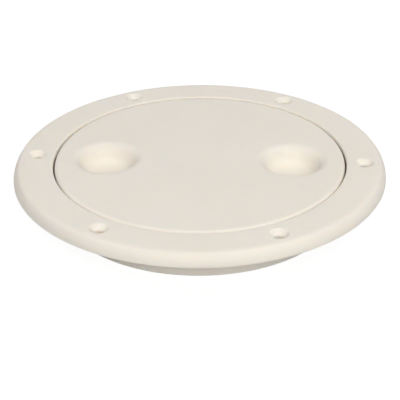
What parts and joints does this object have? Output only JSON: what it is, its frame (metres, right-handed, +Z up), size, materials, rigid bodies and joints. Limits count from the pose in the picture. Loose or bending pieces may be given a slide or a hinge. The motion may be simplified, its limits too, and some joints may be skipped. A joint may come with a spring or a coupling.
{
  "type": "deck inspection plate",
  "caption": "Round screw-out access plate for a deck: a flanged ring with a threaded collar, and a flush lid with finger hollows and a rubber seal.",
  "frame": {"origin": "on the plate's axis, in the plane of the deck that the flange sits on", "axes": "+Z up along the axis, out of the deck; +X through one screw hole; +Y a quarter turn further by the right-hand rule"},
  "size_m": [0.205, 0.205, 0.0268],
  "materials": {
    "plastic": "satin, warm white",
    "rubber": "matte, black"
  },
  "bodies": {
    "ring": {"deck_ring": "plastic"},
    "seal": {"seal_ring": "rubber"},
    "lid": {"screw_lid": "plastic"}
  },
  "joints": [
    {"name": "lid_rise", "type": "slide", "parent": "ring", "child": "seal", "axis": [0, 0, 1], "range_m": [0, 0.025]},
    {"name": "lid_turn", "type": "hinge", "parent": "seal", "child": "lid", "pos_m": [0, 0, 0], "axis": [0, 0, 1], "range_deg": [0, 1800]}
  ],
  "couplings": [
    {"joint": "lid_rise", "follows": "lid_turn", "m_per_rad": 0.00079577}
  ]
}
